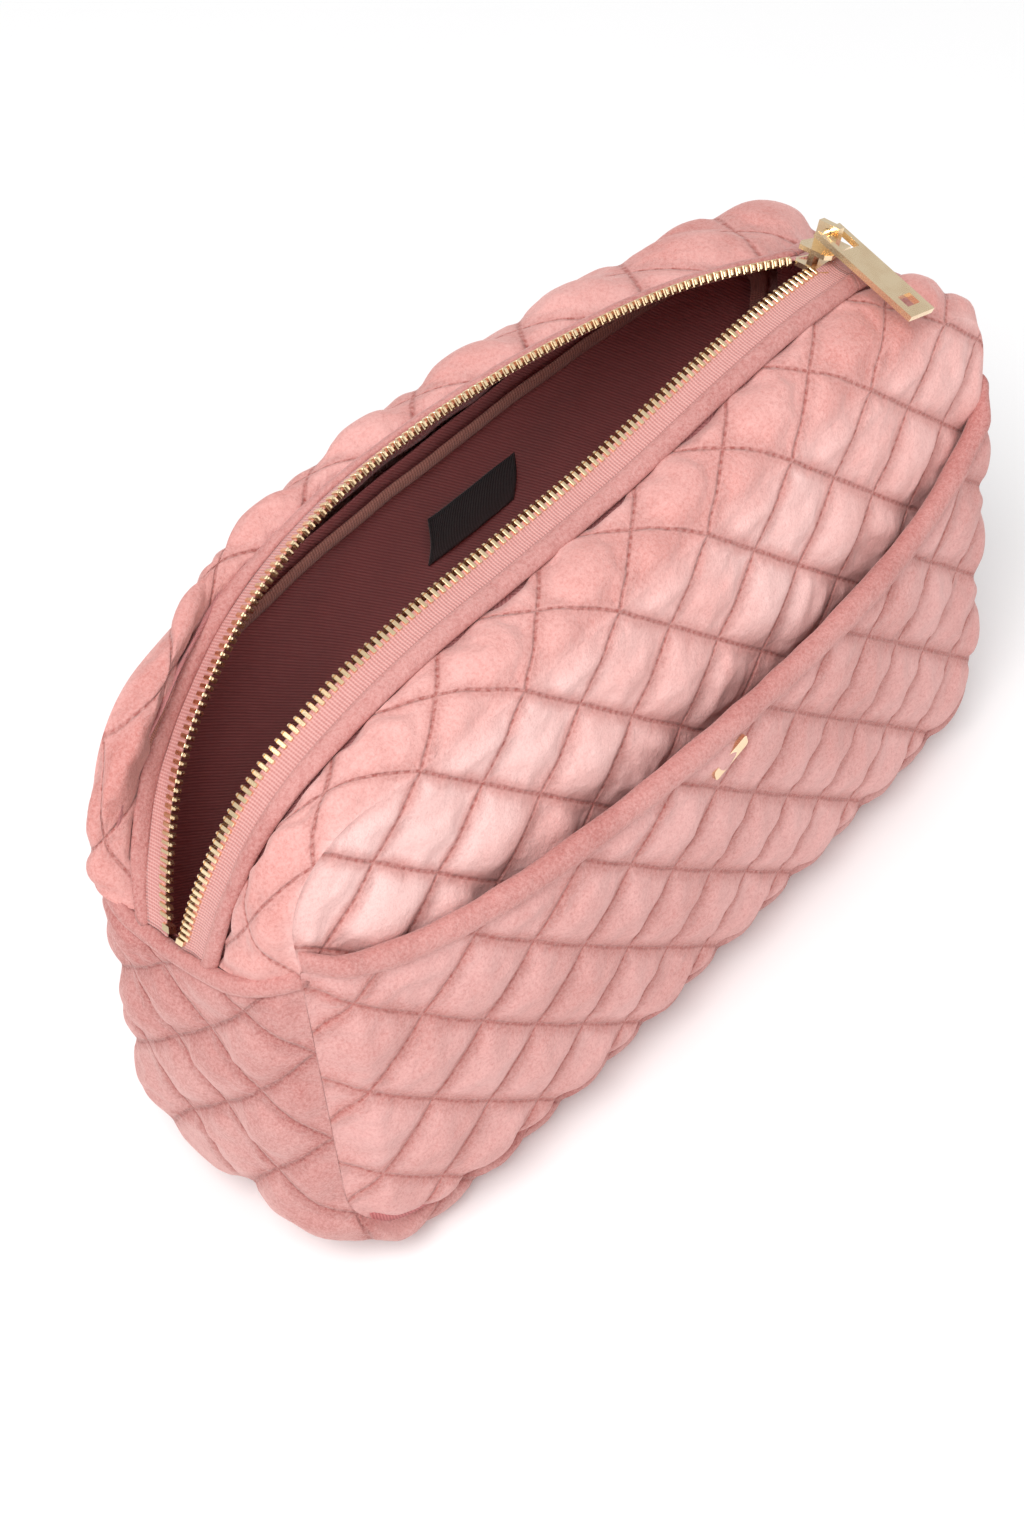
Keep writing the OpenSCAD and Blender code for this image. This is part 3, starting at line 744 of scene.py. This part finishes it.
def followMouth(piece, side, sooner=0):
    # the cloth beside the open zip: a lean, a range and a body are worked out for each side, and the piece's
    # transform is baked into its mesh; the piece is not turned
    if side < 0:
        lean, start, stop, body = Vector((0, 1, -0.065)).normalized(), -39.6, -31.9, "front_mouth"
    else:
        lean, start, stop, body = Vector((0, -0.563, 0.826)).normalized(), 97.5, 104.9, "back_mouth"
    start, stop = start - sooner, stop - sooner
    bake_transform(piece)


splitStrip(frontStrip, "frontStrip", -1)
splitStrip(backStrip, "backStrip", 1)
print("quilts finished")


# plain strips and tubes along a line
def ribbon(name, columns, rows, place, finish, inside=None, wrap=False, scale=(1.0, 1.0), shadeCrown=None):
    bm = gridOf(columns, rows)
    uv = bm.loops.layers.uv["cloth"]
    crown = bm.verts.layers.float.new("crown")
    cells = {}
    for v in bm.verts:
        i, j = cellOf(v, columns, rows)
        cells[v] = (i / columns, j / rows)
        v.co = place(*cells[v]) * mm
        v[crown] = shadeCrown(*cells[v]) if shadeCrown else 1.0
    for f in bm.faces:
        for loop in f.loops:
            a, b = cells[loop.vert]
            loop[uv].uv = (a * scale[0] * 0.01, b * scale[1] * 0.01)
    if wrap:
        bmesh.ops.remove_doubles(bm, verts=bm.verts[:], dist=0.01 * mm)
        bmesh.ops.holes_fill(bm, edges=[e for e in bm.edges if e.is_boundary], sides=0)
        bmesh.ops.recalc_face_normals(bm, faces=bm.faces[:])
    elif inside is not None:
        faceAway(bm, inside)
    return newPiece(name, bm, finish)


def thickened(piece, thickness, offset=-1.0):
    wall = piece.modifiers.new("wall", "SOLIDIFY")
    wall.thickness, wall.offset, wall.use_rim = thickness * mm, offset, True
    return piece


def wobble(x, y, z, scale, depth):
    return noise.noise(Vector((x, y, z)) / scale) * depth


# folded velvet ridge beside the zip tape
ridge = {"width": 4.8, "height": 2.6}


def ridgePlace(side, first, last):
    def place(a, b):
        s = mix(first, last, a)
        start, stop, outward = stripEnds(s, side)
        d = (stop - start).normalized()
        flat = (d * outward.dot(d) - outward).normalized()
        g = 2 * math.pi * b
        middle = stop - d * (ridge["width"] / 2 - 0.1) - flat * (strips["frontPuff"] * 0.15)
        wave = wobble(s, 0, side * 9, 7, 0.25)
        lift = math.sin(g) * ridge["height"] / 2 + 0.2 + wave
        return middle + d * math.cos(g) * ridge["width"] / 2 - flat * lift
    return place


slideAt = overLength * openLength / zipLength
# the crown values darken each ridge on its zip side: painted shade where it meets the tape
for side, name, body in ((-1, "frontRidge", "front_mouth"), (1, "backRidge", "back_mouth")):
    moving = ribbon(name + "Open", 190, 12, ridgePlace(side, 0, slideAt), foldedVelvet, wrap=True,
                    scale=(230, 12), shadeCrown=lambda a, b: 0.35 + 0.6 * abs(math.sin(math.pi * b)))
    fixed = ribbon(name + "Closed", 60, 12, ridgePlace(side, slideAt, overLength), foldedVelvet, wrap=True,
                   scale=(70, 12), shadeCrown=lambda a, b: 0.35 + 0.6 * abs(math.sin(math.pi * b)))
    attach(moving, body)
    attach(fixed, "bag")


# binding on the pocket's open edge
binding = {"thick": 6.6, "deep": 6.0}


def bindingPlace(a, b):
    x = mix(-122.4, 122.4, a)
    z = pocketEdge(x) + binding["thick"] / 2 - 0.6
    rim = pocketPoint(x, pocketEdge(x))
    middle = rim + backward * (pocket["thick"] / 2 - 0.6) + upward * (z - pocketEdge(x))
    g = 2 * math.pi * b
    plump = 1 + wobble(x, 3, 0, 9, 0.12)
    return middle + Vector((0, math.cos(g) * binding["deep"] / 2, math.sin(g) * binding["thick"] / 2)) * plump


pocketBinding = ribbon("pocketBinding", 200, 16, bindingPlace, foldedVelvet, wrap=True, scale=(250, 19))
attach(pocketBinding, "bag")
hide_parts("pocket_binding")


# fold over the cross seam at each end of the band
crossFold = {"thick": 5.0, "deep": 4.2}


def crossPlace(sign):
    def place(a, b):
        s = 0 if sign > 0 else underLength
        point = bandPoint(s, a)
        ahead = (bandPoint(s, min(a + 0.02, 1)) - bandPoint(s, max(a - 0.02, 0))).normalized()
        out = Vector((sign, 0, 0))
        over = ahead.cross(out).normalized()
        g = 2 * math.pi * b
        proud = math.cos(g) * crossFold["deep"] / 2 - 0.4
        return point + out * proud + over * math.sin(g) * crossFold["thick"] / 2
    return place


for sign, name in ((-1, "leftCrossFold"), (1, "rightCrossFold")):
    fold = ribbon(name, 60, 12, crossPlace(sign), foldedVelvet, wrap=True, scale=(78, 14))
    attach(fold, "bag")
print("ridges, binding and folds made")


# linings, held in from the velvet by the thickness of the layers
lining = {"depth": 4.4, "wave": 0.9, "inset": 4.6, "cloth": 0.4}


def liningPlace(side):
    def place(a, b):
        inset = lining["inset"]
        x = mix(-1, 1, a) * (bag["halfLength"] - inset)
        z = mix(bag["bottomSeam"] + inset, bag["topSeam"] - inset, b)
        away, (nx, nz) = outlineDistance(x, z, inset)
        if away > 0:
            x, z = x - nx * away, z - nz * away
        point = panelPoint(x, z, side)
        return point - backward * side * (lining["depth"] + wobble(x, z, side * 40, 24, lining["wave"]) + 0.5)
    return place


inward = quilting["inside"]
for side, name, node in ((-1, "frontLining", "front_lining"), (1, "backLining", "back_lining")):
    piece = ribbon(name, 90, 56, liningPlace(side), bodyLining, inward, scale=(237, 129))
    thickened(piece, lining["cloth"])
    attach(piece, "bag")
    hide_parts(node)


def bandLiningPlace(a, b):
    s = mix(2, underLength - 2, a)
    v = mix(0.05, 0.95, b)
    x, z, nx, nz = seamRow(underRuns, s)
    depth = lining["depth"] + 0.4 + wobble(s, v * 80, 11, 26, lining["wave"])
    return bandPoint(s, v) - Vector((nx, 0, nz)) * depth


bandLining = thickened(ribbon("bandLining", 160, 30, bandLiningPlace, bodyLining, inward, scale=(425, 72)),
                       lining["cloth"])
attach(bandLining, "bag")
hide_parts("band_lining")


def stripLiningPlace(side, first, last):
    def place(a, b):
        s = mix(first, last, a)
        start, stop, outward = stripEnds(s, side)
        t = mix(0.06, 1, b)
        d = (stop - start).normalized()
        flat = (d * outward.dot(d) - outward).normalized()
        inwards = mix(-backward * side - outward, flat * 0.55, smooth(t * 1.4))
        thinner = 1 - 0.55 * smooth((t - 0.6) / 0.4)
        wave = wobble(s, t * 30, side * 70, 15, 0.8) * (1 - t)
        return stripPoint(s, t, side) + inwards * (lining["depth"] * thinner + wave)
    return place


for side, strip, node in ((-1, "frontStrip", "front_strip_lining"), (1, "backStrip", "back_strip_lining")):
    moving = ribbon(strip + "LiningOpen", 130, 14, stripLiningPlace(side, 2, slideAt), stripLining, inward,
                    scale=(230, 26))
    fixed = ribbon(strip + "LiningClosed", 40, 14, stripLiningPlace(side, slideAt, overLength - 2), stripLining,
                   inward, scale=(68, 26))
    followMouth(moving, side, 2)
    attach(fixed, "bag")
    for piece, part, long in ((moving, "Open", 0.230), (fixed, "Closed", 0.068)):
        thickened(piece, lining["cloth"])
        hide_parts(node)


def pocketLiningPlace(a, b):
    x = mix(-119, 119, a)
    low = bag["bottomSeam"] + 3
    intoCorner = abs(x) - (bag["halfLength"] - bag["cornerRadius"])
    if intoCorner > 0:
        low += bag["cornerRadius"] - math.sqrt(max(bag["cornerRadius"] ** 2 - intoCorner ** 2, 0))
    z = mix(low, pocketEdge(x) - 0.5, b)
    return pocketPoint(x, z) + backward * (pocket["thick"] - 0.7 + wobble(x, z, 90, 20, 0.3))


pocketLining = thickened(ribbon("pocketLining", 90, 36, pocketLiningPlace, bodyLining, Vector((0, 60, 60)) * mm,
                                scale=(238, 90)), lining["cloth"])
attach(pocketLining, "bag")
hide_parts("pocket_lining")
print("linings made")


# ribbed binding over the seam allowances, flat on the lining
seamTape = {"inset": 7, "width": 4.5, "depth": 6.2}


def outlineAt(a, inset):
    total = overLength + underLength
    s = (a % 1) * total
    row = seamRow(overRuns, s) if s <= overLength else seamRow(underRuns, s - overLength)
    return row[0] - row[2] * inset, row[1] - row[3] * inset


def seamTapePlace(side):
    def place(a, b):
        x, z = outlineAt(a, seamTape["inset"] + b * seamTape["width"])
        over = 0.7 * math.sin(math.pi * b)
        depth = seamTape["depth"] if side < 0 else seamTape["depth"] + 1.2
        return panelPoint(x, z, side) - backward * side * (depth + over + wobble(a * 700, 0, side * 5, 16, 0.5))
    return place


for side, name, node in ((-1, "frontSeamBinding", "front_seam_binding"),
                         (1, "backSeamBinding", "back_seam_binding")):
    tape = ribbon(name, 320, 4, seamTapePlace(side), ribbedTape, inward, scale=(700, seamTape["width"]))
    thickened(tape, 0.5)
    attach(tape, "bag")
    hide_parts(node)


# label sewn to the back lining, left blank
label = {"x": 16, "z": 111, "wide": 32, "high": 17, "depth": 5.4}


def labelPlace(a, b):
    x, z = label["x"] + (a - 0.5) * label["wide"], label["z"] + (b - 0.5) * label["high"]
    lift = 0.9 * math.sin(math.pi * b) + 0.5 * math.sin(math.pi * a) + wobble(x, z, 3, 9, 0.3)
    return backPoint(x, z) - backward * (label["depth"] + lift)


labelPiece = thickened(ribbon("labelPiece", 24, 14, labelPlace, labelWeave, inward,
                              scale=(label["wide"], label["high"])), 0.45)
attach(labelPiece, "bag")
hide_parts("label")
print("bindings and label made")


# woven zip tapes
def tapePlace(side, first, last):
    def place(a, b):
        s = mix(first, last, a)
        point, along, across, up = zipFrame(s, side)
        curl = 0.5 * math.cos(math.pi * b * 2) - 0.2
        return point + across * mix(zipper["tapeFrom"] - 0.6, zipper["tapeTo"] + 0.6, b) + up * curl * 0.4
    return place


for side, name, node, body in ((-1, "frontTape", "front_tape", "front_mouth"),
                               (1, "backTape", "back_tape", "back_mouth")):
    tape = thickened(ribbon(name, 170, 6, tapePlace(side, 0.5, openLength), wovenTape, inward,
                            scale=(258, 6)), 0.5, 0)
    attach(tape, body)
    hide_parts(node)
    closedTape = thickened(ribbon(name + "Closed", 44, 6, tapePlace(side, openLength, zipLength - 1), wovenTape,
                                  inward, scale=(70, 6)), 0.5, 0)
    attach(closedTape, "bag")
    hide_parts("closed_tape")


# metal teeth
tooth = {"pitchwise": 1.05, "long": 3.2, "thick": 2.1, "head": 0.7, "gap": 0.4, "round": 0.16}


def toothTemplate():
    # along is x, across is y with the head at low y, up is z
    bm = bmesh.new()
    bmesh.ops.create_cube(bm, size=1)
    foot = tooth["long"] - tooth["head"]
    bmesh.ops.scale(bm, vec=(tooth["pitchwise"], foot, tooth["thick"]), verts=bm.verts[:])
    bmesh.ops.translate(bm, vec=(0, tooth["gap"] + tooth["head"] + foot / 2, 0), verts=bm.verts[:])
    bm.normal_update()
    tip = min(bm.faces, key=lambda f: f.calc_center_median().y)
    bmesh.ops.inset_region(bm, faces=[tip], thickness=0.14)
    head = bmesh.ops.extrude_face_region(bm, geom=[tip])
    grown = [v for v in head["geom"] if isinstance(v, bmesh.types.BMVert)]
    bmesh.ops.delete(bm, geom=[tip], context="FACES_ONLY")
    bmesh.ops.translate(bm, vec=(0, -tooth["head"], 0), verts=grown)
    bmesh.ops.scale(bm, vec=(0.8, 1, 0.75), verts=grown, space=Matrix.Identity(4))
    sharp = [e for e in bm.edges if e.is_manifold and e.calc_face_angle(0) > 0.9]
    bmesh.ops.bevel(bm, geom=sharp, offset=tooth["round"], segments=1, profile=0.5, affect="EDGES")
    mesh = bpy.data.meshes.new("toothShape")
    bm.to_mesh(mesh)
    bm.free()
    return mesh


toothShape = toothTemplate()


def toothRow(name, runs, node, body):
    bm = bmesh.new()
    for side, first, last in runs:
        s = first
        while s < last:
            point, along, across, up = zipFrame(s, side)
            up = along.cross(across).normalized()
            turn = Matrix((along, across, up)).transposed().to_4x4()
            turn.translation = point
            old = len(bm.verts)
            bm.from_mesh(toothShape)
            bm.verts.ensure_lookup_table()
            fresh = bm.verts[old:]
            bmesh.ops.transform(bm, matrix=turn, verts=fresh)
            s += zipper["pitch"]
    bmesh.ops.scale(bm, vec=(mm, mm, mm), verts=bm.verts[:])
    bmesh.ops.recalc_face_normals(bm, faces=bm.faces[:])
    piece = newPiece(name, bm, toothGold, False)
    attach(piece, body)
    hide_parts(node)


toothRow("frontTeeth", [(-1, 4.5, openLength - 7)], "front_teeth", "front_mouth")
toothRow("backTeeth", [(1, 5.5, openLength - 7)], "back_teeth", "back_mouth")
toothRow("closedTeeth", [(-1, openLength + 7.5, zipLength - 4), (1, openLength + 8.5, zipLength - 4)],
         "closed_teeth", "bag")
bpy.data.meshes.remove(toothShape)
print("zip made")

for node in ("slider_body", "slider_crown", "puller", "pocket_plate", "plate_washer", "front_top_stop",
             "back_top_stop", "bottom_stop"):
    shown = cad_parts[node]
    shown.data.materials.clear()
    shown.data.materials.append(paleGold)
print("metal finished")


# floor, light and camera
stage = {"size": 6.0, "key": 22.0, "fill": 3.5, "world": 0.66}
bm = bmesh.new()
bmesh.ops.create_grid(bm, x_segments=4, y_segments=4, size=stage["size"] / 2)
bmesh.ops.translate(bm, vec=(0, 0, cadBox[0][2] - 0.0004), verts=bm.verts[:])
floor = newPiece("floor", bm, paleFloorFinish(), False)


def softLight(name, place, aim, size, power):
    lamp = bpy.data.lights.new(name, "AREA")
    lamp.shape, lamp.size, lamp.energy = "DISK", size, power
    holder = bpy.data.objects.new(name, lamp)
    bpy.context.scene.collection.objects.link(holder)
    holder.location = place
    holder.rotation_euler = (Vector(aim) - Vector(place)).to_track_quat("-Z", "Y").to_euler()


softLight("keyLight", (-0.9, -0.35, 1.5), (0, 0, 0.08), 0.9, stage["key"])
softLight("fillLight", (-0.2, -1.6, 0.9), (0, 0, 0.08), 1.2, stage["fill"])
world = bpy.data.worlds.new("soft_room")
world.use_nodes = True
world.node_tree.nodes["Background"].inputs["Color"].default_value = (1, 1, 1, 1)
world.node_tree.nodes["Background"].inputs["Strength"].default_value = stage["world"]
bpy.context.scene.world = world
bpy.context.scene.view_settings.view_transform = "Standard"

sight = {"aim": Vector((-0.0233, -0.00194, 0.07636)), "away": Vector((-0.4882, -0.4420, 0.7525)),
         "right": Vector((0.6517, -0.7581, -0.0225)), "distance": 0.6993, "lens": 66.6}
lens = bpy.data.cameras.new("camera")
lens.lens, lens.sensor_width, lens.sensor_fit = sight["lens"], 36, "AUTO"
lens.clip_start = 0.01
camera = bpy.data.objects.new("camera", lens)
bpy.context.scene.collection.objects.link(camera)
away = sight["away"].normalized()
rightward = (sight["right"] - away * sight["right"].dot(away)).normalized()
turn = Matrix((rightward, away.cross(rightward), away)).transposed().to_4x4()
turn.translation = sight["aim"] + away * sight["distance"]
camera.matrix_world = turn
bpy.context.scene.camera = camera
print("camera and lights set")
